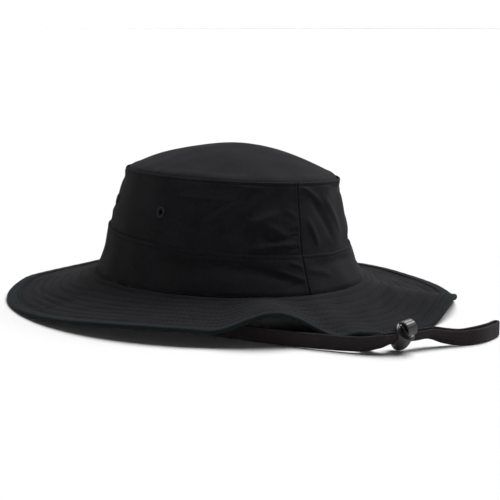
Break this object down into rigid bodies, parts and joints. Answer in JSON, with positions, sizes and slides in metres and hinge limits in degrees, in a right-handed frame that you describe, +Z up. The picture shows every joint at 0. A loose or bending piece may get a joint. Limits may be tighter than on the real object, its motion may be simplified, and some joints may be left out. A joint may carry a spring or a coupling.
{
  "type": "bucket hat",
  "caption": "Wide-brimmed cloth bucket hat with a two-band crown, a row-stitched bound brim, vent eyelets and a flat chin strap held by a spring cord lock.",
  "frame": {"origin": "centre of the hat's footprint on the surface that it stands on, under the middle of the head oval", "axes": "+Z up through the crown, +Y towards the back seam, +X towards the wearer's left"},
  "size_m": [0.295, 0.3704, 0.1049],
  "materials": {
    "crown_twill": "black brushed cotton twill",
    "brim_twill": "black brushed cotton twill, row-stitched",
    "bias_binding": "smooth black bias tape",
    "interlining": "stiff white interlining",
    "lining_cloth": "soft black lining cloth",
    "embroidery_thread": "satin-stitched black thread",
    "braided_tape": "flat braided tape, slightly fuzzy brownish black",
    "moulded_plastic": "satin moulded nylon",
    "spring_steel": "bright drawn wire"
  },
  "bodies": {
    "hat": {"top_panel": "crown_twill", "upper_band_left": "crown_twill", "upper_band_right": "crown_twill", "lower_band_left": "crown_twill", "lower_band_right": "crown_twill", "brim_top": "brim_twill", "brim_interlining": "interlining", "brim_underside": "brim_twill", "edge_binding": "bias_binding", "sweatband": "lining_cloth", "top_seam_tape": "lining_cloth", "front_seam_tape": "lining_cloth", "back_seam_tape": "lining_cloth", "eyelet_left_back": "embroidery_thread", "eyelet_left_front": "embroidery_thread", "eyelet_right_back": "embroidery_thread", "eyelet_right_front": "embroidery_thread", "strap_anchor_left": "braided_tape", "strap_anchor_right": "braided_tape", "chin_strap": "braided_tape"},
    "cord_lock": {"cord_lock_body": "moulded_plastic", "cord_lock_spring": "spring_steel"},
    "plunger": {"cord_lock_plunger": "moulded_plastic"}
  },
  "joints": [
    {"name": "cord_lock_slide", "type": "slide", "parent": "hat", "child": "cord_lock", "axis": [-0.9998, -0.0175, 0], "range_m": [0, 0.012]},
    {"name": "plunger_press", "type": "slide", "parent": "cord_lock", "child": "plunger", "axis": [0.0121, -0.6946, -0.7193], "range_m": [0, 0.0018], "stiffness_N_per_m": 800, "springref_m": -0.001, "deforming": ["cord_lock_spring"]}
  ]
}
